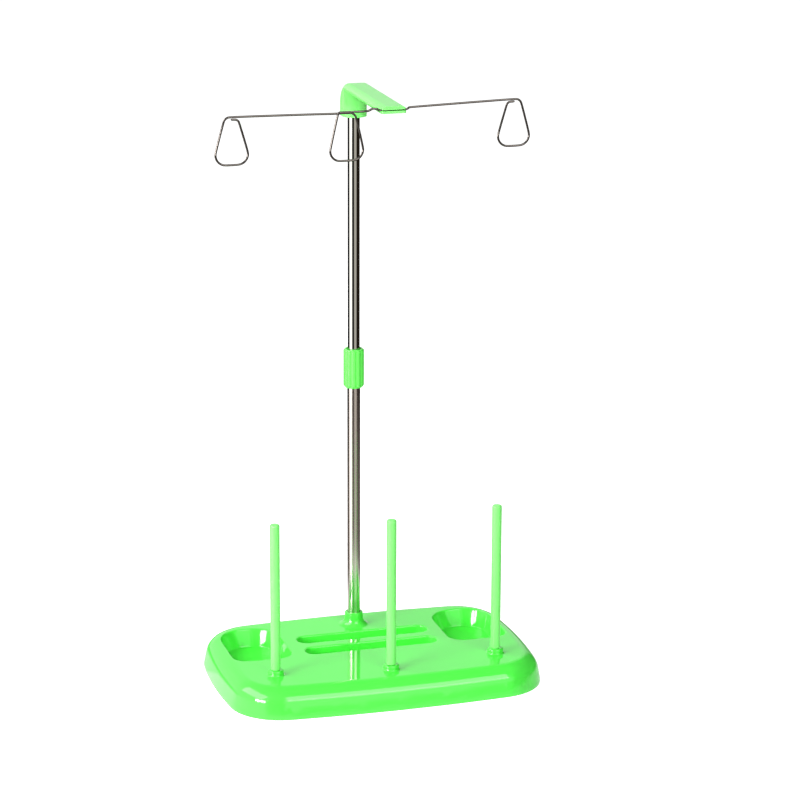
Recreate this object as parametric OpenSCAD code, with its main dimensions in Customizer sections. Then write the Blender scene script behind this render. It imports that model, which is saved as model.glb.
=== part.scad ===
// Three-spool thread rack: a moulded tray with three spool pins, a telescopic
// mast with a twist lock, and an arm whose tip clips one bent wire with three
// thread eyelets.
// X runs along the tray's long side, the front (spool side) is at -Y, +Z is up,
// and the origin is the middle of the tray's footprint on the table.

/* [Tray] */
// Length of the tray over its bowed ends
tray_l = 229; // [222:1:260]
// Depth of the tray over its bowed long sides
tray_w = 155; // [146:1:175]
// Height of the tray's deck above the table
deck_h = 20.5; // [18:0.5:28]
// How far each short end bows outwards
end_bow = 7.5; // [4:0.5:10]
// How far each long side bows outwards
side_bow = 6.5; // [4:0.5:9]
// Radius of the tray's corners in plan
corner_r = 37; // [30:1:42]
// Radius of the rounding between side wall and deck
shoulder_r = 7.5; // [5:0.5:9]
// Inward lean of the side wall, in degrees
wall_draft = 11; // [4:1:15]
// Wall thickness of the moulding
wall = 2.2; // [1.6:0.1:2.8]
// Width of the flat rim that the tray stands on
rim_w = 3; // [2.4:0.1:4]
// Height of that rim
rim_h = 1.5; // [1:0.1:2.5]
// Thickness of the ribs under the deck
rib_t = 1.5; // [1:0.1:2.5]
// Gap between the ribs' lower edges and the table
rib_lift = 5; // [3:0.5:7]

/* [Pockets] */
// Distance of each pocket's outer side from the tray's end
pocket_end_gap = 14; // [13:0.5:22]
// Width of a pocket along the tray
pocket_w = 42.5; // [34:0.5:43.5]
// Y of the pockets' front side
pocket_front_y = -8.5; // [-16:0.5:0]
// Y of the pockets' rear side
pocket_rear_y = 55; // [44:0.5:55.5]
// Depth of the pockets below the deck
pocket_depth = 12.5; // [6:0.5:13]
// Radius of the pockets' rear corners
pocket_rear_r = 19; // [16:0.5:21]
// Radius of the pockets' front corners
pocket_front_r = 11; // [8:0.5:16]
// Rounding of the pockets' and slots' upper edges
lip_r = 1.2; // [0.5:0.1:2]

/* [Slots] */
// Length of the two slots
slot_l = 96; // [70:1:102]
// Width of each slot
slot_w = 14; // [9:0.5:15]
// Y of the rear slot's middle
slot_rear_y = 22.8; // [21:0.1:24]
// Distance between the two slots' middles
slot_pitch = 23.2; // [19:0.1:26]
// Depth of the slots below the deck
slot_depth = 9; // [5:0.5:11]

/* [Spool pins] */
// Diameter of a spool pin
pin_d = 6.8; // [5:0.1:8]
// Height of a pin's tip above the table
pin_top_z = 130; // [100:1:160]
// Distance of the two outer pins from the tray's ends
pin_end_gap = 34.5; // [29:0.5:40]
// Y of the two outer pins
pin_side_y = -39.5; // [-44:0.5:-34]
// Y of the middle pin
pin_mid_y = -51; // [-54:0.5:-44]
// Diameter of the spigot that plugs into the tray
spigot_d = 5.4; // [4:0.1:6]
// Length of that spigot
spigot_l = 17; // [8:0.5:20]
// Diameter of the collar on the deck round a pin
pin_boss_d = 11; // [10:0.1:13]
// Height of that collar above the deck
pin_boss_h = 4; // [2:0.5:8]

/* [Mast] */
// Y of the mast's axis
mast_y = 45.5; // [43:0.5:50]
// Outside diameter of the lower tube
lower_od = 9.2; // [8:0.1:10]
// Wall thickness of both tubes
tube_wall = 0.35; // [0.25:0.05:0.6]
// Radial running clearance between pieces that turn or slide
fit_gap = 0.05; // [0.03:0.01:0.09]
// Small gap under a shoulder that rests on a seat
seat_gap = 0.1; // [0.05:0.05:0.3]
// Diameter of the tray's mast collar at its top
mast_boss_d = 13; // [12.5:0.1:16]
// Height of the mast collar above the deck
mast_boss_h = 9.8; // [6:0.2:16]
// Radius of the sweep from the mast collar into the deck
mast_sweep_r = 5.5; // [3:0.5:6]
// Height of the lower tube's bottom end above the table
mast_foot_z = 4.5; // [3.5:0.5:6]
// Length of the upper tube inside the lower tube, fully extended
tube_overlap = 26; // [15:1:40]

/* [Twist lock] */
// Height of the fluted collar's lower end above the table
lock_z = 199; // [150:1:230]
// Length of the fluted collar
lock_l = 28; // [22:1:36]
// Diameter over the collar's ridges
lock_d = 14.6; // [14.2:0.1:18]
// Number of ridges
lock_ridges = 12; // [8:1:16]
// Outside diameter of the split collet inside the collar
collet_d = 11; // [10.8:0.1:11.4]
// Length of the collet's fingers above the lower tube
finger_l = 9; // [6:0.5:12]
// Width of the slits between the fingers
finger_slit = 0.8; // [0.5:0.1:1.2]

/* [Guide arm] */
// Height of the arm's top above the table, mast extended
arm_top_z = 418; // [390:1:450]
// Distance from the mast's axis to the wire
arm_reach = 97.3; // [80:0.1:110]
// Width of the arm
arm_w = 17.2; // [16.6:0.1:20]
// Thickness of the arm
arm_t = 4.9; // [4.2:0.1:7]
// Height of the socket block under the arm's top
block_h = 24; // [18:0.5:34]
// Distance from the mast's axis to the block's front
block_front = 9.7; // [8:0.1:14]
// Distance from the mast's axis to the block's back
block_back = 7.6; // [6.4:0.1:12]
// Radius of the block's rounded back at the top
hood_r = 16.5; // [8:0.5:17]
// Radius of the block's rounded front, seen from above
nose_r = 8; // [5:0.2:8.2]
// Radius of the long upper edges of the arm and block
top_soft = 3.6; // [1:0.2:4]
// Length of the upper tube inside the block
socket_l = 17.5; // [8:0.5:18]
// Length of the arm in front of the wire
clip_lip = 2.4; // [1.8:0.1:4]
// Height of the slit that the wire snaps through
clip_slit = 0.9; // [0.5:0.1:1.1]

/* [Guide wire] */
// Diameter of the wire
wire_d = 1.5; // [1.2:0.1:1.8]
// X of the left eyelet's middle
eye_left_x = -110; // [-130:1:-90]
// X of the middle eyelet's middle
eye_mid_x = -32; // [-38:0.5:-30]
// X of the right eyelet's middle
eye_right_x = 84; // [70:1:110]
// Height of an eyelet between wire centres
eye_h = 32; // [24:0.5:40]
// Width of an eyelet at its foot, before its corners are rounded
eye_foot_w = 26.6; // [22:0.2:34]
// Width of an eyelet at its head, before its corners are rounded
eye_head_w = 9; // [8:0.5:12]
// Bend radius of an eyelet's lower corners
eye_foot_r = 7; // [4:0.5:8]
// Bend radius of an eyelet's upper corners
eye_head_r = 4.6; // [3:0.2:5]
// Step of the wire beside the clip, which stops it sliding sideways
clip_step = 1.2; // [0.6:0.1:2]
// How far the right arm of the wire rises to its eyelet
right_rise = 2.2; // [0:0.2:6]
// Clear distance between two stretches of wire that pass each other
wire_gap = 0.4; // [0.4:0.1:1]

/* [Hidden] */
$fn = 64;
eps = 0.01;
lime = [0.33, 0.95, 0.27];
steel = [0.80, 0.80, 0.78];

// Tubes, from the outside in
lower_r = lower_od / 2;
lower_ir = lower_r - tube_wall;
upper_r = lower_ir - fit_gap;
upper_ir = upper_r - tube_wall;

// Heights along the mast
block_z = arm_top_z - block_h;
upper_top_z = block_z + socket_l;
lower_top_z = lock_z + lock_l - 4 - finger_l;
upper_foot_z = lower_top_z - tube_overlap;

// Spool pins and their sockets
pin_side_x = tray_l / 2 - pin_end_gap;
pin_seat_z = deck_h + pin_boss_h;
socket_wall = 2.2;
spigot_tip_gap = 0.5;

// Guide wire and its seat in the arm's tip
wire_y = mast_y - arm_reach;
wire_z = arm_top_z - arm_t / 2 - 0.3;
wire_r = wire_d / 2;
tip_y = wire_y - clip_lip;

// Plan of the tray: two long-side arcs, two end arcs and four corner arcs that
// touch them, so that an inset outline is the same arcs with smaller radii
half_l = tray_l / 2;
half_w = tray_w / 2;
side_arc_r = (half_l * half_l + side_bow * side_bow) / (2 * side_bow);
end_arc_r = (half_w * half_w + end_bow * end_bow) / (2 * end_bow);
side_c = [0, half_w - side_arc_r];
end_c = [half_l - end_arc_r, 0];
corner_c = meet(side_c, side_arc_r - corner_r, end_c, end_arc_r - corner_r);
side_ang = heading(side_c, corner_c);
end_ang = heading(end_c, corner_c);
end_steps = 4;
corner_steps = 9;
side_steps = 5;

// Side wall of the tray in section: a drafted line, then the shoulder arc
shoulder_z = deck_h - shoulder_r;
shoulder_in = shoulder_r * cos(wall_draft)
    + (shoulder_z + shoulder_r * sin(wall_draft) - rim_h) * tan(wall_draft);
shoulder_steps = 7;

// Point where two circles meet, on the side of greater X and Y
function meet(a, ra, b, rb) =
    let (d = norm(b - a), u = (b - a) / d,
         t = (ra * ra - rb * rb + d * d) / (2 * d),
         h = sqrt(ra * ra - t * t),
         side = (u[0] - u[1] > 0) ? 1 : -1)
    a + t * u + side * h * [-u[1], u[0]];

function heading(from, to) = atan2(to[1] - from[1], to[0] - from[0]);

function on_arc(c, r, a) = c + r * [cos(a), sin(a)];

// One quarter of the tray's outline, inset by d, from the +X end to the +Y side
function tray_quarter(d) = concat(
    [for (i = [0:end_steps - 1])
        on_arc(end_c, end_arc_r - d, end_ang * i / end_steps)],
    [for (i = [0:corner_steps - 1])
        on_arc(corner_c, corner_r - d, end_ang + (side_ang - end_ang) * i / corner_steps)],
    [for (i = [0:side_steps])
        on_arc(side_c, side_arc_r - d, side_ang + (90 - side_ang) * i / side_steps)]);

function tray_outline(d) =
    let (q = tray_quarter(d), n = len(q) - 1)
    concat([for (i = [0:n - 1]) q[i]],
           [for (i = [n:-1:1]) [-q[i][0], q[i][1]]],
           [for (i = [0:n - 1]) -q[i]],
           [for (i = [n:-1:1]) [q[i][0], -q[i][1]]]);

// Rounded rectangle grown by g, with a radius for each corner in the order
// rear right, rear left, front left, front right
function box_outline(x0, x1, y0, y1, radii, g, steps) =
    let (corners = [[x1, y1], [x0, y1], [x0, y0], [x1, y0]],
         inward = [[-1, -1], [1, -1], [1, 1], [-1, 1]])
    [for (k = [0:3]) for (i = [0:steps])
        on_arc(corners[k] + radii[k] * inward[k], radii[k] + g, 90 * (k + i / steps))];

function mirror_outline(p) = [for (i = [len(p) - 1:-1:0]) [-p[i][0], p[i][1]]];

function pocket_outline(g) =
    let (outer_x = half_l - pocket_end_gap)
    box_outline(outer_x - pocket_w, outer_x, pocket_front_y, pocket_rear_y,
                [pocket_rear_r, pocket_rear_r, pocket_front_r, pocket_front_r], g, 7);

function slot_outline(y, g) =
    let (r = slot_w / 2 - 0.5)
    box_outline(-slot_l / 2, slot_l / 2, y - slot_w / 2, y + slot_w / 2,
                [r, r, r, r], g, 5);

function lift(outline, z) = [for (p = outline) [p[0], p[1], z]];

// Closed solid through a stack of rings that run anticlockwise, lowest first
module skin(rings) {
    n = len(rings[0]);
    m = len(rings);
    sides = [for (j = [0:m - 2]) for (i = [0:n - 1])
        let (a = j * n + i, b = j * n + (i + 1) % n)
        each [[a, a + n, b + n], [a, b + n, b]]];
    polyhedron(
        points = [for (r = rings) each r],
        faces = concat([[for (i = [0:n - 1]) i]], sides,
                       [[for (i = [n - 1:-1:0]) (m - 1) * n + i]]));
}

// The tray's outer skin, or a skin that lies t inside it
module tray_skin(t, floor_z) {
    foot_in = shoulder_in - (shoulder_r - t) * cos(wall_draft)
        - (shoulder_z + (shoulder_r - t) * sin(wall_draft) - floor_z) * tan(wall_draft);
    skin(concat(
        [lift(tray_outline(foot_in), floor_z)],
        [for (i = [0:shoulder_steps])
            let (a = wall_draft + (90 - wall_draft) * i / shoulder_steps)
            lift(tray_outline(shoulder_in - (shoulder_r - t) * cos(a)),
                 shoulder_z + (shoulder_r - t) * sin(a))]));
}

// Profile of a recess as [growth, z] pairs from its floor up: a rounded foot,
// a slightly drafted wall and a rounded lip that opens above the deck
recess_foot_r = 1.2;
recess_draft = 0.6;
arc_steps = 4;
function recess_profile(depth) = concat(
    [for (i = [0:arc_steps])
        let (a = 90 * i / arc_steps)
        [-recess_draft - recess_foot_r * (1 - sin(a)),
         deck_h - depth + recess_foot_r * (1 - cos(a))]],
    [for (i = [0:arc_steps])
        let (a = 90 * i / arc_steps)
        [lip_r * (1 - cos(a)), deck_h - lip_r * (1 - sin(a))]],
    [[lip_r, deck_h + 1]]);

// Profile of the wall and floor that carry that recess below the deck
function cup_profile(depth) = [
    [wall - recess_draft - recess_foot_r, deck_h - depth - wall],
    [wall - recess_draft, deck_h - depth - wall + recess_foot_r],
    [wall, deck_h - wall / 2]];

module pocket(side, profile) {
    skin([for (p = profile)
        let (o = pocket_outline(p[0]))
        lift(side > 0 ? o : mirror_outline(o), p[1])]);
}

module slot(y, profile) {
    skin([for (p = profile) lift(slot_outline(y, p[0]), p[1])]);
}

module recesses() {
    for (side = [-1, 1]) pocket(side, recess_profile(pocket_depth));
    for (y = [slot_rear_y, slot_rear_y - slot_pitch]) slot(y, recess_profile(slot_depth));
}

module recess_cups() {
    for (side = [-1, 1]) pocket(side, cup_profile(pocket_depth));
    for (y = [slot_rear_y, slot_rear_y - slot_pitch]) slot(y, cup_profile(slot_depth));
}

pin_places = [[-pin_side_x, pin_side_y], [0, pin_mid_y], [pin_side_x, pin_side_y]];

// Tubes under the deck that take the mast and the pins' spigots, with floors
pin_socket_foot = pin_seat_z - spigot_l - spigot_tip_gap - socket_wall;
mast_socket_foot = mast_foot_z - seat_gap - 2;
module sockets() {
    for (p = pin_places)
        translate([p[0], p[1], pin_socket_foot])
            cylinder(d = spigot_d + 2 * socket_wall, h = deck_h - wall / 2 - pin_socket_foot);
    translate([0, mast_y, mast_socket_foot])
        cylinder(d = lower_od + 2 * socket_wall, h = deck_h - wall / 2 - mast_socket_foot);
}

// Ribs that tie the sockets and cups to each other and to the side wall
module ribs() {
    rib_h = deck_h - wall / 2 - rib_lift;
    for (x = [-pin_side_x, 0, pin_side_x])
        translate([x - rib_t / 2, -half_w, rib_lift]) cube([rib_t, tray_w, rib_h]);
    for (y = [pin_side_y, mast_y])
        translate([-half_l, y - rib_t / 2, rib_lift]) cube([tray_l, rib_t, rib_h]);
}

// Short collar on the deck round a spool pin, swept into the deck
module pin_boss() {
    r = pin_boss_d / 2;
    sweep = 1.4;
    bevel = 0.8;
    rotate_extrude() difference() {
        polygon([[0, -wall / 2], [r + sweep, -wall / 2], [r + sweep, sweep], [r, sweep],
                 [r, pin_boss_h - bevel], [r - bevel, pin_boss_h], [0, pin_boss_h]]);
        translate([r + sweep, sweep]) circle(r = sweep);
    }
}

// Trumpet-shaped collar on the deck round the mast
module mast_boss() {
    r = mast_boss_d / 2;
    s = mast_sweep_r;
    bevel = 0.6;
    rotate_extrude() difference() {
        polygon([[0, -wall / 2], [r + s, -wall / 2], [r + s, s], [r, s],
                 [r, mast_boss_h - bevel], [r - bevel, mast_boss_h], [0, mast_boss_h]]);
        translate([r + s, s]) circle(r = s);
    }
}

// Hollow moulded tray: shell, rim, recesses, sockets, ribs and collars
module base_tray() {
    color(lime) difference() {
        union() {
            difference() {
                tray_skin(0, rim_h);
                tray_skin(wall, rim_h - eps);
            }
            linear_extrude(height = rim_h) difference() {
                polygon(tray_outline(0));
                polygon(tray_outline(rim_w));
            }
            intersection() {
                union() {
                    recess_cups();
                    ribs();
                }
                tray_skin(wall / 2, rim_h - eps);
            }
            sockets();
            for (p = pin_places) translate([p[0], p[1], deck_h]) pin_boss();
            translate([0, mast_y, deck_h]) mast_boss();
        }
        recesses();
        for (p = pin_places)
            translate([p[0], p[1], pin_seat_z - spigot_l - spigot_tip_gap])
                cylinder(d = spigot_d + 2 * fit_gap, h = pin_seat_z);
        translate([0, mast_y, mast_foot_z - seat_gap])
            cylinder(r = lower_r + fit_gap, h = arm_top_z);
    }
}

// Moulded spool pin with a domed tip, a shoulder and a plug-in spigot
module spool_pin(p) {
    r = pin_d / 2;
    dome = 1.2;
    bevel = 0.5;
    foot = pin_seat_z + seat_gap;
    color(lime) translate([p[0], p[1], foot]) rotate_extrude()
        polygon(concat(
            [[0, -spigot_l], [spigot_d / 2 - bevel, -spigot_l],
             [spigot_d / 2, bevel - spigot_l], [spigot_d / 2, 0], [r, 0]],
            [for (a = [0:15:75]) [r - dome + dome * cos(a), pin_top_z - foot - dome + dome * sin(a)]],
            [[0, pin_top_z - foot]]));
}

module spool_pin_left() { spool_pin(pin_places[0]); }
module spool_pin_middle() { spool_pin(pin_places[1]); }
module spool_pin_right() { spool_pin(pin_places[2]); }

// Thin-walled tube between two heights on the mast's axis
module tube(r, ir, z0, z1) {
    translate([0, mast_y, z0]) difference() {
        cylinder(r = r, h = z1 - z0);
        translate([0, 0, -1]) cylinder(r = ir, h = z1 - z0 + 2);
    }
}

module mast_lower_tube() { color(steel) tube(lower_r, lower_ir, mast_foot_z, lower_top_z); }

module mast_upper_tube() { color(steel) tube(upper_r, upper_ir, upper_foot_z, upper_top_z); }

// Plastic plug in the foot of the upper tube, which guides it in the lower one
module tube_end_plug() {
    flange = 2;
    plug_l = 9;
    color("dimgray") translate([0, mast_y, upper_foot_z]) union() {
        translate([0, 0, -flange]) cylinder(r = upper_r, h = flange);
        translate([0, 0, -eps]) cylinder(r = upper_ir - 0.02, h = plug_l);
    }
}

// Split sleeve that the collar squeezes on the upper tube: its skirt is pressed
// over the lower tube, and its fingers stand above it
skirt_l = 13;
cone_l = 2.5;
finger_top_r = upper_r + 0.75;
module lock_collet() {
    outer_r = collet_d / 2;
    top = lower_top_z + finger_l;
    color("whitesmoke") translate([0, mast_y, 0]) difference() {
        rotate_extrude() polygon([
            [0, lower_top_z - skirt_l], [outer_r, lower_top_z - skirt_l],
            [outer_r, top - cone_l], [finger_top_r, top], [0, top]]);
        translate([0, 0, lower_top_z - skirt_l - 1])
            cylinder(r = lower_r + 0.02, h = skirt_l + 1);
        translate([0, 0, lower_top_z - 1]) cylinder(r = upper_r + fit_gap, h = finger_l + 2);
        for (a = [0, 90])
            rotate([0, 0, a]) translate([-lower_od, -finger_slit / 2, lower_top_z + 1.5])
                cube([2 * lower_od, finger_slit, finger_l]);
    }
}

// Fluted collar that is twisted to lock the mast: rounded ridges on a core,
// bevelled ends, and a bore that closes in a cone over the fingers
module lock_collar() {
    ridge_r = lock_d * 0.15;
    core_r = lock_d / 2 - 0.55;
    cone_top = lower_top_z + finger_l + 0.3 - lock_z;
    bore_r = collet_d / 2 + fit_gap;
    mouth_r = finger_top_r + 0.35;
    color(lime) translate([0, mast_y, lock_z]) difference() {
        intersection() {
            union() {
                cylinder(r = core_r, h = lock_l);
                for (i = [0:lock_ridges - 1])
                    rotate([0, 0, (i + 0.5) * 360 / lock_ridges])
                        translate([lock_d / 2 - ridge_r, 0, 0])
                            cylinder(r = ridge_r, h = lock_l, $fn = 24);
            }
            rotate_extrude() polygon([
                [0, 0], [core_r - 0.7, 0], [lock_d / 2, 1.6], [lock_d / 2, lock_l - 1],
                [lock_d / 2 - 0.9, lock_l], [0, lock_l]]);
        }
        rotate_extrude() polygon([
            [0, -1], [bore_r, -1], [bore_r, cone_top - cone_l],
            [mouth_r, cone_top], [mouth_r, lock_l + 1], [0, lock_l + 1]]);
    }
}

// Square with its corners rounded by circles, so that its arcs stay true
module soft_rect(x0, x1, y0, y1, r) {
    translate([x0 + r, y0]) square([x1 - x0 - 2 * r, y1 - y0]);
    translate([x0, y0 + r]) square([x1 - x0, y1 - y0 - 2 * r]);
    for (x = [x0 + r, x1 - r]) for (y = [y0 + r, y1 - r]) translate([x, y]) circle(r = r);
}

// Shape of the block from above: rounded rear corners, and a front so round that
// it reads as a half cylinder
module block_plan(front_r, rear_r) {
    front = mast_y - block_front;
    back = mast_y + block_back;
    w = arm_w / 2;
    intersection() {
        soft_rect(-w, w, front, back + front_r, front_r);
        soft_rect(-w, w, front - rear_r, back, rear_r);
    }
}

// Rounded back of the block: a quarter of a disc with softened rims
hood_y = mast_y + block_back - hood_r;
hood_z = arm_top_z - hood_r;
module hood(from_z) {
    w = arm_w / 2;
    intersection() {
        translate([0, hood_y, hood_z]) rotate([0, 90, 0]) rotate_extrude() intersection() {
            soft_rect(-hood_r, hood_r, -w, w, top_soft);
            translate([0, -w]) square([hood_r, 2 * w]);
        }
        translate([-w, hood_y, from_z]) cube([2 * w, hood_r, arm_top_z - from_z]);
    }
}

// Flat arm with softened upper edges and rounded corners at its tip
module arm() {
    w = arm_w / 2;
    tip_r = 1.8;
    under_z = arm_top_z - arm_t;
    intersection() {
        translate([0, hood_y, 0]) rotate([90, 0, 0]) linear_extrude(height = hood_y - tip_y)
            intersection() {
                soft_rect(-w, w, under_z - 2 * top_soft, arm_top_z, top_soft);
                translate([-w, under_z]) square([2 * w, arm_t]);
            }
        translate([0, 0, under_z - 1]) linear_extrude(height = arm_t + 2)
            soft_rect(-w, w, tip_y, hood_y + 2 * tip_r, tip_r);
    }
}

// Block that sits on the mast, up to the arm's underside
module block() {
    under_z = arm_top_z - arm_t;
    front = mast_y - block_front;
    intersection() {
        translate([0, 0, block_z]) linear_extrude(height = under_z - block_z)
            block_plan(nose_r, eps);
        union() {
            translate([0, 0, block_z]) linear_extrude(height = hood_z - block_z)
                block_plan(eps, top_soft);
            hood(hood_z);
            translate([-arm_w / 2, front, hood_z])
                cube([arm_w, hood_y - front, under_z - hood_z]);
        }
    }
}

// One moulding: socket block on the mast, flat arm, and a tip that is slit so
// that the wire snaps into a round seat
module guide_head() {
    color(lime) difference() {
        union() {
            arm();
            block();
            hood(arm_top_z - arm_t);
        }
        // Blind bore for the upper tube
        translate([0, mast_y, block_z - 1])
            cylinder(r = upper_r + fit_gap, h = socket_l + seat_gap + 1);
        // Round seat of the wire and the slit that leads to it
        translate([-arm_w, wire_y, wire_z]) rotate([0, 90, 0])
            cylinder(r = wire_r + fit_gap, h = 2 * arm_w);
        translate([-arm_w, tip_y - 1, wire_z - clip_slit / 2])
            cube([2 * arm_w, clip_lip + 1, clip_slit]);
    }
}

function unit(v) = v / norm(v);

// Points of a bend: where the wire turns at b on its way from a to c, it
// follows an arc of radius r that touches both straight stretches
function bend(a, b, c, r) =
    let (u = unit(a - b), v = unit(c - b),
         inside = acos(max(-1, min(1, u * v))))
    inside > 179 ? [b] :
    let (reach = r / tan(inside / 2),
         centre = b + unit(u + v) * r / sin(inside / 2),
         p = b + u * reach - centre,
         q = b + v * reach - centre,
         e = unit(p),
         f = unit(q - (q * e) * e),
         steps = ceil((180 - inside) / 20))
    [for (i = [0:steps])
        let (t = (180 - inside) * i / steps)
        centre + r * (cos(t) * e + sin(t) * f)];

// Path through hand-placed corners, each given as [point, bend radius]
function bent_path(c) = concat(
    [c[0][0]],
    [for (i = [1:len(c) - 2]) each bend(c[i - 1][0], c[i][0], c[i + 1][0], c[i][1])],
    [c[len(c) - 1][0]]);

// Round wire swept along a path that never runs along Y
module wire_along(path, r, sides) {
    n = len(path);
    dirs = [for (i = [0:n - 1])
        unit(path[min(i + 1, n - 1)] - path[max(i - 1, 0)])];
    skin([for (i = [0:n - 1])
        let (u = unit(cross(dirs[i], [0, 1, 0])), v = cross(dirs[i], u))
        [for (k = [0:sides - 1])
            let (a = 360 * k / sides)
            path[i] + r * (cos(a) * u - sin(a) * v)]]);
}

// The wire's corners, from its left end to its right end. X and Z are measured
// from the wire's seat; the middle eyelet is a full turn, so its two passes lie
// one behind the other.
function wire_corners() =
    let (head = eye_head_w / 2, foot = eye_foot_w / 2,
         pass = (wire_d + wire_gap) / 2,
         below = wire_d + wire_gap,
         sl = clip_step, w = arm_w / 2,
         lx = eye_left_x, mx = eye_mid_x, rx = eye_right_x,
         rz = sl + right_rise)
    [[[lx + head - 5, 0, 0.6 - below], 0],
     [[lx + head, 0, 0.6 - below], 3],
     [[lx + foot, 0, 0.6 - eye_h], eye_foot_r],
     [[lx - foot, 0, 0.6 - eye_h], eye_foot_r],
     [[lx - head, 0, 0.6], eye_head_r],
     [[mx - 28, 0, -0.3], 8],
     [[mx - head - 5, pass, -0.9], 8],
     [[mx + head + 1.5, pass, -0.9], eye_head_r],
     [[mx + foot, pass / 2, -0.6 - eye_h], eye_foot_r],
     [[mx - foot, -pass / 2, -0.6 - eye_h], eye_foot_r],
     [[mx - head - 1.5, -pass, 0.3], 2],
     [[mx + head + 5, -pass, 0], 6],
     [[-w - 8.5, 0, 0], 2],
     [[-w - 5.5, 0, sl + 0.3], 1.8],
     [[-w - 2.6, 0, sl], 1.5],
     [[-w - 0.9, 0, 0], 1.2],
     [[w + 0.9, 0, 0], 1.2],
     [[w + 2.4, 0, sl], 1.2],
     [[rx + head, 0, rz], eye_head_r],
     [[rx + foot, 0, rz - eye_h], eye_foot_r],
     [[rx - foot, 0, rz - eye_h], eye_foot_r],
     [[rx - head, 0, rz - below], 3],
     [[rx - head + 5, 0, rz - below], 0]];

module guide_wire() {
    color(steel) translate([0, wire_y, wire_z])
        wire_along(bent_path(wire_corners()), wire_r, 10);
}

base_tray();
spool_pin_left();
spool_pin_middle();
spool_pin_right();
mast_lower_tube();
mast_upper_tube();
tube_end_plug();
lock_collet();
lock_collar();
guide_head();
guide_wire();
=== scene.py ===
import math

import bmesh
import bpy
from mathutils import Matrix, Vector


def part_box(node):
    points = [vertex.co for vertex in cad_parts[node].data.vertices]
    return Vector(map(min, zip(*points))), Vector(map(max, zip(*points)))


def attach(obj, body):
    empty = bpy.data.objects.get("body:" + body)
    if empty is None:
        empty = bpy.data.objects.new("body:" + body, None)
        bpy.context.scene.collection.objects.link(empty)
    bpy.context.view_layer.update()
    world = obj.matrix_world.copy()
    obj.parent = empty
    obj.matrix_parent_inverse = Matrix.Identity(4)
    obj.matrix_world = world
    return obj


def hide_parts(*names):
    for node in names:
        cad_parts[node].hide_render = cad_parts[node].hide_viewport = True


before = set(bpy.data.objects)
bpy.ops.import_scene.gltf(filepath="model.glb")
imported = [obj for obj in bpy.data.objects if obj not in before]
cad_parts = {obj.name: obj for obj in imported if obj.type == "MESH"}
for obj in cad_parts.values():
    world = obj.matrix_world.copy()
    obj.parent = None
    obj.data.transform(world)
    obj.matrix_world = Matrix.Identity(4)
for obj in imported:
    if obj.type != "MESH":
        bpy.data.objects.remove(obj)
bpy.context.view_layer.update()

bpy.ops.object.select_all(action="DESELECT")

MM = 0.001
CREASE = math.radians(30)  # edges that turn more than this stay crisp


# Camera

CAMERA_PLACE = (-570.04, -1989.14, 788.64)  # in mm
CAMERA_BEARING = math.atan2(CAMERA_PLACE[1], CAMERA_PLACE[0])


def place_camera():
    """Puts the camera where the photograph was taken from."""
    turn_right = math.radians(16.5425)
    look_down = math.radians(15.8406)
    tilt = math.radians(0.23)
    lens = bpy.data.cameras.new("photo_camera")
    lens.lens = 139.07
    lens.sensor_width = 36
    lens.clip_end = 50
    camera = bpy.data.objects.new("photo_camera", lens)
    bpy.context.scene.collection.objects.link(camera)
    camera.matrix_world = (
        Matrix.Translation(Vector(CAMERA_PLACE) * MM)
        @ Matrix.Rotation(-turn_right, 4, "Z")
        @ Matrix.Rotation(math.pi / 2 - look_down, 4, "X")
        @ Matrix.Rotation(tilt, 4, "Z"))
    bpy.context.scene.camera = camera


place_camera()


# Materials

def linear(hex_colour):
    """Turns a colour written as sRGB hex into the linear numbers that a shader takes."""
    channels = [int(hex_colour[i:i + 2], 16) / 255 for i in (1, 3, 5)]
    curve = [c / 12.92 if c <= 0.04045 else ((c + 0.055) / 1.055) ** 2.4 for c in channels]
    return (*curve, 1)


def add_node(tree, kind, inputs=None, **settings):
    """Adds a shader node, with its settings, its input values and the sockets linked to it."""
    node = tree.nodes.new("ShaderNode" + kind)
    for name, value in settings.items():
        setattr(node, name, value)
    for name, value in (inputs or {}).items():
        if isinstance(value, bpy.types.NodeSocket):
            tree.links.new(value, node.inputs[name])
        else:
            node.inputs[name].default_value = value
    return node


def new_material(name):
    """Makes an empty material and returns it with its node tree and object coordinates."""
    material = bpy.data.materials.new(name)
    material.use_nodes = True
    tree = material.node_tree
    tree.nodes.clear()
    place = add_node(tree, "TexCoord").outputs["Object"]
    return material, tree, place


def surface(tree, shader):
    """Links a shader to the material's output."""
    add_node(tree, "OutputMaterial", {"Surface": shader.outputs[0]})


def per_mm(size):
    """Scale of a pattern whose features are this many millimetres across."""
    return 1 / (size * MM)


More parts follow.
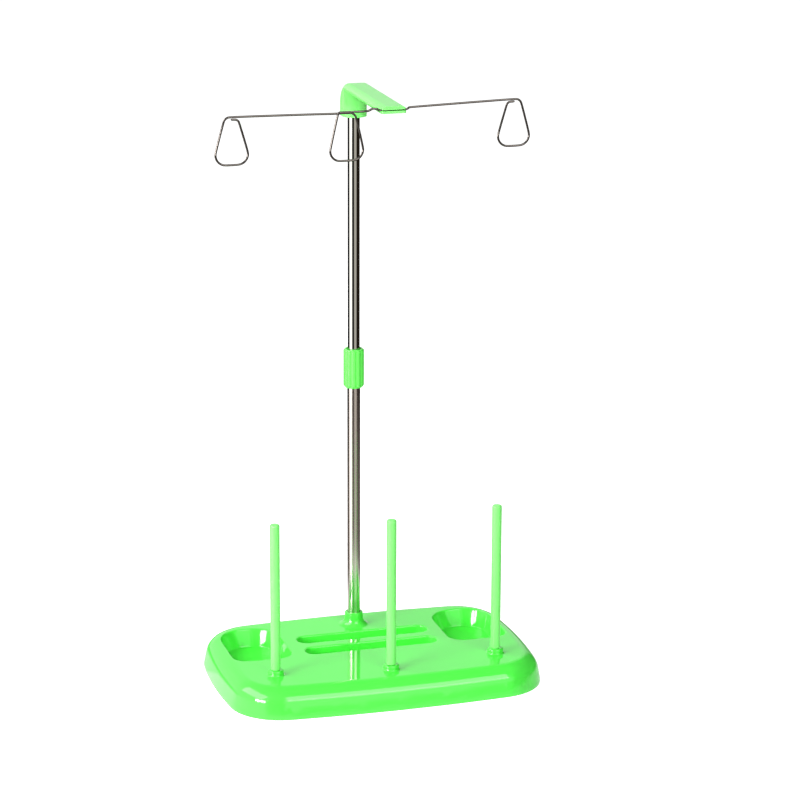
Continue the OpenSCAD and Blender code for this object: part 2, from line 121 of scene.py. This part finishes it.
def lime_abs(name, colour, gloss_from, gloss_to, ease):
    """ABS pigmented lime and moulded in a steel tool. The pigment gives an even, strong
    colour, and the tool's finish decides how sharply the surface mirrors the room. Slow
    sink marks bend the reflections a little, handling has left faint haze, and every edge is
    eased by the polishing of the tool."""
    material, tree, place = new_material(name)
    haze = add_node(tree, "TexNoise", {"Vector": place, "Scale": per_mm(18), "Detail": 4})
    roughness = add_node(tree, "MapRange", {
        "Value": haze.outputs["Fac"], "From Min": 0.3, "From Max": 0.7,
        "To Min": gloss_from, "To Max": gloss_to})
    sink = add_node(tree, "TexNoise", {"Vector": place, "Scale": per_mm(30), "Detail": 1})
    eased = add_node(tree, "Bevel", {"Radius": ease}, samples=6)
    wavy = add_node(tree, "Bump", {
        "Height": sink.outputs["Fac"], "Strength": 0.2, "Distance": 0.2 * MM,
        "Normal": eased.outputs["Normal"]})
    shader = add_node(tree, "BsdfPrincipled", {
        "Base Color": linear(colour), "Roughness": roughness.outputs["Result"],
        "IOR": 1.53, "Normal": wavy.outputs["Normal"],
        "Subsurface Weight": 0.15, "Subsurface Radius": (0.4, 1.0, 0.3),
        "Subsurface Scale": 1.2 * MM})
    surface(tree, shader)
    return material


def drawn_metal(name, colour, roughness_from, roughness_to, lines_per_mm):
    """Metal drawn through a die. Fine lines along the part vary its gloss a little, and
    lines_per_mm says how close they lie along each axis."""
    material, tree, place = new_material(name)
    stretch = add_node(tree, "Mapping", {"Vector": place, "Scale": lines_per_mm})
    lines = add_node(tree, "TexNoise", {
        "Vector": stretch.outputs["Vector"], "Scale": per_mm(1), "Detail": 3})
    roughness = add_node(tree, "MapRange", {
        "Value": lines.outputs["Fac"], "From Min": 0.3, "From Max": 0.7,
        "To Min": roughness_from, "To Max": roughness_to})
    shader = add_node(tree, "BsdfPrincipled", {
        "Base Color": linear(colour), "Metallic": 1, "Roughness": roughness.outputs["Result"]})
    surface(tree, shader)
    return material


POLISHED_LIME = lime_abs("lime_abs_polished_tool", "#50EE49", 0.04, 0.07, 0.55 * MM)
SATIN_LIME = lime_abs("lime_abs_satin_tool", "#80F476", 0.27, 0.34, 0.4 * MM)
COLLAR_LIME = lime_abs("lime_abs_collar_tool", "#66F05A", 0.2, 0.27, 0.4 * MM)
UPPER_CHROME = drawn_metal("bright_plated_upper_tube", "#DEDCD4", 0.05, 0.08, (3, 3, 0.05))
LOWER_CHROME = drawn_metal("bright_plated_lower_tube", "#E4DAD2", 0.15, 0.21, (3, 3, 0.05))
WIRE_STEEL = drawn_metal("drawn_stainless_wire", "#5E5954", 0.06, 0.12, (0.3, 4, 4))


def plain_plastic(name, colour, roughness):
    """A small moulded fitting inside the mast, with a fine-grained satin skin."""
    material, tree, place = new_material(name)
    grain = add_node(tree, "TexNoise", {"Vector": place, "Scale": per_mm(0.4), "Detail": 2})
    pits = add_node(tree, "Bump", {
        "Height": grain.outputs["Fac"], "Strength": 0.2, "Distance": 0.05 * MM})
    shader = add_node(tree, "BsdfPrincipled", {
        "Base Color": linear(colour), "Roughness": roughness, "IOR": 1.48,
        "Normal": pits.outputs["Normal"]})
    surface(tree, shader)
    return material


ACETAL = plain_plastic("natural_acetal_fingers", "#E9E8E0", 0.38)
NYLON = plain_plastic("black_nylon_plug", "#1E1E20", 0.5)


# Tools of the bench

MERGE_GAP = 0.002 * MM


def only(piece):
    """Leaves edit mode and makes the piece the one selected and active object."""
    if bpy.context.mode != "OBJECT":
        bpy.ops.object.mode_set(mode="OBJECT")
    bpy.ops.object.select_all(action="DESELECT")
    piece.select_set(True)
    bpy.context.view_layer.objects.active = piece


def finish_with(piece, kind, **settings):
    """Adds a modifier to the piece and applies it."""
    only(piece)
    modifier = piece.modifiers.new(kind.lower(), kind)
    for name, value in settings.items():
        setattr(modifier, name, value)
    bpy.ops.object.modifier_apply(modifier=modifier.name)


def solid_copy(node_name, piece_name):
    """Copies a CAD node's mesh as a new piece and joins its loose triangles."""
    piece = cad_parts[node_name].copy()
    piece.data = piece.data.copy()
    piece.name = piece_name
    piece.data.name = piece_name
    bpy.context.scene.collection.objects.link(piece)
    only(piece)
    bpy.ops.object.mode_set(mode="EDIT")
    bpy.ops.mesh.select_all(action="SELECT")
    bpy.ops.mesh.remove_doubles(threshold=MERGE_GAP)
    bpy.ops.object.mode_set(mode="OBJECT")
    return piece


def dress(piece, body, node, material):
    """Gives a finished piece its material, says what it rides on and hides the CAD node it
    stands for.
    """
    piece.data.materials.clear()
    piece.data.materials.append(material)
    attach(piece, body)
    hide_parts(node)


def lay_down(piece):
    """Puts the piece's place into its mesh, with its origin at the frame's."""
    only(piece)
    bpy.ops.object.transform_apply(location=True, rotation=True, scale=True)


def pick(piece, wanted):
    """Selects the vertices for which wanted(place) is true, and what they bound, and leaves
    the piece in edit mode."""
    only(piece)
    bpy.ops.object.mode_set(mode="EDIT")
    bpy.ops.mesh.select_mode(type="VERT")
    bpy.ops.mesh.select_all(action="DESELECT")
    mesh = bmesh.from_edit_mesh(piece.data)
    for vertex in mesh.verts:
        vertex.select = wanted(piece.matrix_world @ vertex.co)
    mesh.select_flush(True)
    bmesh.update_edit_mesh(piece.data)


def smooth_moulding(node_name, piece_name):
    """Copies a moulding's solid and smooths its facets, with its crisp edges kept."""
    moulding = solid_copy(node_name, piece_name)
    bpy.ops.object.shade_smooth_by_angle(angle=CREASE)
    return moulding


# Tray: the solid's own shape, with the pockets' walls leaned inwards to their floors and
# the shoulder cut back to the softer crown of the polished moulding

POCKET_MIDDLE = (79.25 * MM, 23.25 * MM)
POCKET_HALF = (21 * MM, 31.5 * MM)
POCKET_FLOOR = (7.9 * MM, 9.3 * MM)
LEAN = 2.6 * MM
tray = smooth_moulding("base_tray", "tray_moulding")
for side in (-1, 1):
    middle = (side * POCKET_MIDDLE[0], POCKET_MIDDLE[1])
    pick(tray, lambda place: (
        abs(place.x - middle[0]) < POCKET_HALF[0]
        and abs(place.y - middle[1]) < POCKET_HALF[1]
        and POCKET_FLOOR[0] < place.z < POCKET_FLOOR[1]))
    bpy.ops.transform.resize(
        value=(1 - LEAN / POCKET_HALF[0], 1 - LEAN / POCKET_HALF[1], 1),
        center_override=(*middle, 0))

RIM_TOP = 1.5 * MM
DECK = 20.5 * MM
WALL_LEAN = math.radians(11)
SAME_FACE = math.radians(1)  # faces that turn less than this become one
CROWN_RADIUS = 12.2 * MM
CROWN_STEPS = 14
CLEARANCE = 0.02 * MM
TOP_INSET = 0.5 * MM
BOSS_ROOM = 12 * MM
FOOT_ROOM = 1 * MM


def soft_crown():
    """A tool for the shoulder: the tray's footprint raised to the deck with the wall's lean
    and a softly rounded edge, and a block on it that leaves the bosses alone."""
    crown = solid_copy("base_tray", "soft_crown")
    pick(crown, lambda place: place.z > RIM_TOP + CLEARANCE)
    bpy.ops.mesh.delete(type="VERT")
    bpy.ops.mesh.select_all(action="SELECT")
    bpy.ops.mesh.convex_hull()
    bpy.ops.mesh.select_all(action="SELECT")
    bpy.ops.mesh.dissolve_limited(angle_limit=SAME_FACE)
    pick(crown, lambda place: place.z > RIM_TOP - CLEARANCE)
    rise = DECK + CLEARANCE - RIM_TOP
    half_length, half_width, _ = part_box("base_tray")[1]
    bpy.ops.mesh.inset(thickness=rise * math.tan(WALL_LEAN))
    bpy.ops.transform.translate(value=(0, 0, rise))
    bpy.ops.mesh.bevel(offset=CROWN_RADIUS * math.tan(math.pi / 4 - WALL_LEAN / 2),
                       segments=CROWN_STEPS, affect="EDGES", clamp_overlap=False)
    pick(crown, lambda place: place.z > DECK)
    bpy.ops.mesh.inset(thickness=TOP_INSET)
    bpy.ops.mesh.extrude_region_move(TRANSFORM_OT_translate={"value": (0, 0, BOSS_ROOM)})
    bpy.ops.mesh.select_all(action="SELECT")
    bpy.ops.transform.resize(
        value=(1 + CLEARANCE / half_length, 1 + CLEARANCE / half_width, 1),
        center_override=(0, 0, 0))
    pick(crown, lambda place: place.z < CLEARANCE)
    bpy.ops.transform.translate(value=(0, 0, -FOOT_ROOM))
    bpy.ops.mesh.select_all(action="SELECT")
    bpy.ops.mesh.normals_make_consistent(inside=False)
    bpy.ops.object.mode_set(mode="OBJECT")
    return crown


crown = soft_crown()
finish_with(tray, "BOOLEAN", operation="INTERSECT", object=crown, solver="EXACT")
bpy.data.objects.remove(crown)
bpy.ops.object.shade_smooth_by_angle(angle=CREASE)
finish_with(tray, "WEIGHTED_NORMAL", keep_sharp=True)
dress(tray, "tray", "base_tray", POLISHED_LIME)


# Collar and arm: the solids' own shapes

for node_name, piece_name, body, material in [
        ("lock_collar", "fluted_collar", "collar", COLLAR_LIME),
        ("guide_head", "arm_moulding", "head", SATIN_LIME)]:
    moulding = smooth_moulding(node_name, piece_name)
    finish_with(moulding, "WEIGHTED_NORMAL", keep_sharp=True)
    dress(moulding, body, node_name, material)


# Spool pins: turned once, for the middle, and copied to the sides

PIN_SHOULDER = 24.6 * MM
PIN_DOME = 1.2 * MM
SPIGOT_INSET = 0.7 * MM
SPIGOT_BEVEL = 0.5 * MM
low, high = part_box("spool_pin_middle")
pin_x = (low[0] + high[0]) / 2
pin_y = (low[1] + high[1]) / 2
bpy.ops.mesh.primitive_cylinder_add(
    vertices=64, radius=(high[0] - low[0]) / 2, depth=high[2] - PIN_SHOULDER,
    location=(pin_x, pin_y, (high[2] + PIN_SHOULDER) / 2))
middle_pin = bpy.context.active_object
middle_pin.name = "turned_pin_middle"
lay_down(middle_pin)
pick(middle_pin, lambda place: place.z > high[2] - PIN_DOME)
bpy.ops.mesh.bevel(offset=PIN_DOME, segments=8, affect="EDGES")
pick(middle_pin, lambda place: place.z < PIN_SHOULDER + PIN_DOME)
bpy.ops.mesh.inset(thickness=SPIGOT_INSET)
bpy.ops.mesh.extrude_region_move(
    TRANSFORM_OT_translate={"value": (0, 0, low[2] - PIN_SHOULDER)})
bpy.ops.mesh.bevel(offset=SPIGOT_BEVEL, segments=3, affect="EDGES")
bpy.ops.object.mode_set(mode="OBJECT")
bpy.ops.object.shade_smooth_by_angle(angle=CREASE)

pins = {"middle": middle_pin}
for side in ("left", "right"):
    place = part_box("spool_pin_" + side)
    only(middle_pin)
    bpy.ops.object.duplicate()
    copy = bpy.context.active_object
    copy.name = "turned_pin_" + side
    bpy.ops.transform.translate(value=(
        place[0][0] - low[0], place[0][1] - low[1], place[0][2] - low[2]))
    lay_down(copy)
    pins[side] = copy
for side, piece in pins.items():
    finish_with(piece, "WEIGHTED_NORMAL", keep_sharp=True)
    dress(piece, "pin_" + side, "spool_pin_" + side, SATIN_LIME)


# Mast tubes: thin walls with softened rims

TUBE_WALL = 0.35 * MM
RIM_BEVEL = 0.1 * MM
RIM_ANGLE = math.radians(60)


def drawn_tube(node_name, body, material):
    """Draws one tube of the mast to the size of its solid."""
    low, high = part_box(node_name)
    bpy.ops.mesh.primitive_cylinder_add(
        vertices=96, radius=(high[0] - low[0]) / 2, depth=high[2] - low[2],
        end_fill_type="NOTHING",
        location=[(low[i] + high[i]) / 2 for i in range(3)])
    tube = bpy.context.active_object
    tube.name = node_name + "_drawn"
    lay_down(tube)
    finish_with(tube, "SOLIDIFY", thickness=TUBE_WALL, offset=-1)
    finish_with(tube, "BEVEL", width=RIM_BEVEL, segments=2, limit_method="ANGLE",
                angle_limit=RIM_ANGLE)
    bpy.ops.object.shade_smooth_by_angle(angle=CREASE)
    finish_with(tube, "WEIGHTED_NORMAL", keep_sharp=True)
    dress(tube, body, node_name, material)


drawn_tube("mast_lower_tube", "mast_lower", LOWER_CHROME)
drawn_tube("mast_upper_tube", "mast_upper", UPPER_CHROME)


# Guide wire: the solid's facets taken as quads and rounded, with rounded cut ends

QUAD_ANGLE = math.radians(60)
ROUNDING_SHRINK = 0.048 * MM  # makes up for what the rounding takes off
wire = solid_copy("guide_wire", "guide_wire_bent")
bpy.ops.object.mode_set(mode="EDIT")
bpy.ops.mesh.select_all(action="SELECT")
bpy.ops.mesh.tris_convert_to_quads(face_threshold=QUAD_ANGLE, shape_threshold=QUAD_ANGLE)
bpy.ops.transform.shrink_fatten(value=ROUNDING_SHRINK)
bpy.ops.object.mode_set(mode="OBJECT")
finish_with(wire, "SUBSURF", levels=2, render_levels=2)
bpy.ops.object.shade_smooth()
dress(wire, "wire", "guide_wire", WIRE_STEEL)


# Fittings inside the mast: the CAD's own nodes

for node_name, material in [("lock_collet", ACETAL), ("tube_end_plug", NYLON)]:
    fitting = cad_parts[node_name]
    fitting.data.materials.clear()
    fitting.data.materials.append(material)


# Floor, backdrop and light

FLOOR_SIZE = 8
CARD = (0.8, 0.8, 0.8, 1)
FLOOR_GLOW = 0.76


def white_floor():
    """A white table top that shows the part's shadow and is otherwise as white as the
    backdrop."""
    bpy.ops.mesh.primitive_plane_add(size=FLOOR_SIZE)
    floor = bpy.context.active_object
    floor.name = "table_top"
    material, tree, _ = new_material("white_card_table")
    card = add_node(tree, "BsdfDiffuse", {"Color": CARD})
    glow = add_node(tree, "Emission", {"Color": (1, 1, 1, 1), "Strength": FLOOR_GLOW})
    lit = add_node(tree, "AddShader", {0: card.outputs[0], 1: glow.outputs[0]})
    rays = add_node(tree, "LightPath")
    seen = add_node(tree, "Math", {
        0: rays.outputs["Is Camera Ray"], 1: rays.outputs["Is Glossy Ray"]},
        operation="MAXIMUM")
    either = add_node(tree, "MixShader", {
        0: seen.outputs[0], 1: card.outputs[0], 2: lit.outputs[0]})
    surface(tree, either)
    floor.data.materials.append(material)


def shades_along(tree, amount, shades):
    """Reads off a list of shades by an amount from 0 to 1."""
    band = add_node(tree, "ValToRGB", {"Fac": amount})
    ramp = band.color_ramp
    ramp.elements.remove(ramp.elements[1])
    for number, (spot, shade) in enumerate(shades):
        stop = ramp.elements.new(spot) if number else ramp.elements[0]
        stop.position = spot
        stop.color = (*shade, 1)
    return band.outputs["Color"]


def shades_around(tree, place, shades):
    """Reads off a list of shades by the bearing from the camera, to the right."""
    turned = add_node(tree, "Mapping", {"Vector": place, "Rotation": (0, 0, -CAMERA_BEARING)})
    around = add_node(tree, "TexGradient", {"Vector": turned.outputs["Vector"]},
                      gradient_type="RADIAL")
    spots = [((bearing + 180) / 360, shade) for bearing, shade in shades]
    return shades_along(tree, around.outputs["Fac"], spots)


FILL = (0.31, 0.31, 0.31, 1)
WHITE = (1, 1, 1)
WINDOW = (1.6, 1.6, 1.6)
GLOOM = (0.06, 0.06, 0.06)
CEILING = (0.18, 0.18, 0.18, 1)
# Sine of the elevation at which the ceiling begins and at which it has taken over
CEILING_FROM = 0.4
CEILING_FULL = 0.9
# Bearing from the camera in degrees, to the right, and how light the studio's walls are
WALL_SHADES = [
    (-180, WHITE), (-32, WHITE), (-26, GLOOM), (5, GLOOM), (11, WINDOW), (54, WINDOW),
    (62, GLOOM), (160, GLOOM), (169, WHITE), (180, WHITE)]


def white_world():
    """White all round for the camera and a soft fill for the rack. Reflections see the
    studio's walls instead: dark round the camera, a bright window to its right, a dark wall
    beyond that and white elsewhere, under a dim ceiling."""
    world = bpy.data.worlds.new("white_studio")
    bpy.context.scene.world = world
    world.use_nodes = True
    tree = world.node_tree
    tree.nodes.clear()
    rays = add_node(tree, "LightPath")
    heading = add_node(tree, "TexCoord").outputs["Generated"]
    walls = shades_around(tree, heading, WALL_SHADES)
    height = add_node(tree, "SeparateXYZ", {"Vector": heading})
    ceiling = add_node(tree, "MapRange", {
        "Value": height.outputs["Z"], "From Min": CEILING_FROM, "From Max": CEILING_FULL})
    room = add_node(tree, "Mix", {
        "Factor": ceiling.outputs["Result"], "A": walls, "B": CEILING}, data_type="RGBA")
    gloss = add_node(tree, "Mix", {
        "Factor": rays.outputs["Is Glossy Ray"], "A": FILL, "B": room.outputs["Result"]},
        data_type="RGBA")
    clear = add_node(tree, "Math", {
        0: rays.outputs["Is Camera Ray"], 1: rays.outputs["Is Transmission Ray"]},
        operation="MAXIMUM")
    seen = add_node(tree, "Mix", {
        "Factor": clear.outputs[0], "A": gloss.outputs["Result"], "B": (*WHITE, 1)},
        data_type="RGBA")
    light = add_node(tree, "Background", {"Color": seen.outputs["Result"], "Strength": 1})
    add_node(tree, "OutputWorld", {"Surface": light.outputs[0]})


def aim(lamp, target):
    """Turns a lamp towards a point."""
    direction = Vector(target) - lamp.location
    lamp.rotation_euler = direction.to_track_quat("-Z", "Y").to_euler()


def soft_lamp(name, place, target, width, height, power):
    """Adds a soft box, with its place and size in metres and its power in watts."""
    bpy.ops.object.light_add(type="AREA", location=place)
    lamp = bpy.context.active_object
    lamp.name = name
    lamp.data.shape = "RECTANGLE"
    lamp.data.size = width
    lamp.data.size_y = height
    lamp.data.energy = power
    aim(lamp, target)


TABLE_RADIUS = 3.9
TABLE_LIFT = 2 * MM
TABLE_GLOW = 1.6
# Painted shade and painted light of the table, as reflections see it
PAINTED_SHADE = (0.004, 0.004, 0.004)
WARM_PAINTED_SHADE = (0.01, 0.007, 0.005)
DIM_PAINTED_LIGHT = (0.32, 0.31, 0.29)
PAINTED_LIGHT = (1, 1, 1)
# Bearing from the camera in degrees, to the right, and the table's painted light and shade there
TABLE_SHADES = [
    (-180, PAINTED_SHADE), (-94, PAINTED_SHADE), (-86, PAINTED_LIGHT), (-38, PAINTED_LIGHT), (-30, PAINTED_SHADE), (4, PAINTED_SHADE),
    (11, DIM_PAINTED_LIGHT), (52, DIM_PAINTED_LIGHT), (60, WARM_PAINTED_SHADE), (180, WARM_PAINTED_SHADE)]
# Painted light of the table close to the tray, paler under it than beside it
UNDER_TRAY = (0.6, 0.6, 0.6)
BY_TRAY = (0.085, 0.073, 0.068)
# Distance from the middle of the tray in metres, and how pale the table's painted light is there
NEAR_SHADES = [
    (0, UNDER_TRAY), (0.15, UNDER_TRAY), (0.2, BY_TRAY), (0.4, BY_TRAY), (0.8, (0, 0, 0))]


def mirrored_table():
    """The table round the rack as gloss and bright metal mirror it, with its light and shade
    painted in: painted light on the left, painted shade round the camera, dimmer painted light
    on the right and warm painted shade beyond. Close to the rack the table is painted paler.
    Only reflections see it, so it adds no light."""
    bpy.ops.mesh.primitive_circle_add(
        vertices=96, radius=TABLE_RADIUS, fill_type="NGON", location=(0, 0, TABLE_LIFT))
    table = bpy.context.active_object
    table.name = "mirrored_table"
    lay_down(table)
    table.visible_camera = False
    table.visible_diffuse = False
    table.visible_shadow = False
    table.visible_transmission = False
    material, tree, place = new_material("painted_light_and_shade_round_the_rack")
    shades = shades_around(tree, place, TABLE_SHADES)
    distance = add_node(tree, "VectorMath", {0: place}, operation="LENGTH")
    near = shades_along(tree, distance.outputs["Value"], NEAR_SHADES)
    paler = add_node(tree, "Mix", {"Factor": 1, "A": shades, "B": near},
                     data_type="RGBA", blend_type="LIGHTEN")
    glow = add_node(tree, "Emission", {"Color": paler.outputs["Result"], "Strength": TABLE_GLOW})
    surface(tree, glow)
    table.data.materials.append(material)


white_floor()
white_world()
mirrored_table()
soft_lamp("key_left", (-1.25, -0.65, 0.36), (0, 0, 0.12), 0.6, 0.4, 18)
soft_lamp("sheet_left", (-1.45, 0.1, 1.3), (0, 0, 0.1), 2.2, 0.9, 29)
soft_lamp("front_low", (0.65, -2.2, 1.15), (0, 0, 0.1), 1.5, 0.4, 7)
soft_lamp("front_high", (0.5, -1.7, 1.5), (0, 0, 0.15), 1.3, 1.0, 16)

scene = bpy.context.scene
scene.view_settings.view_transform = "Standard"
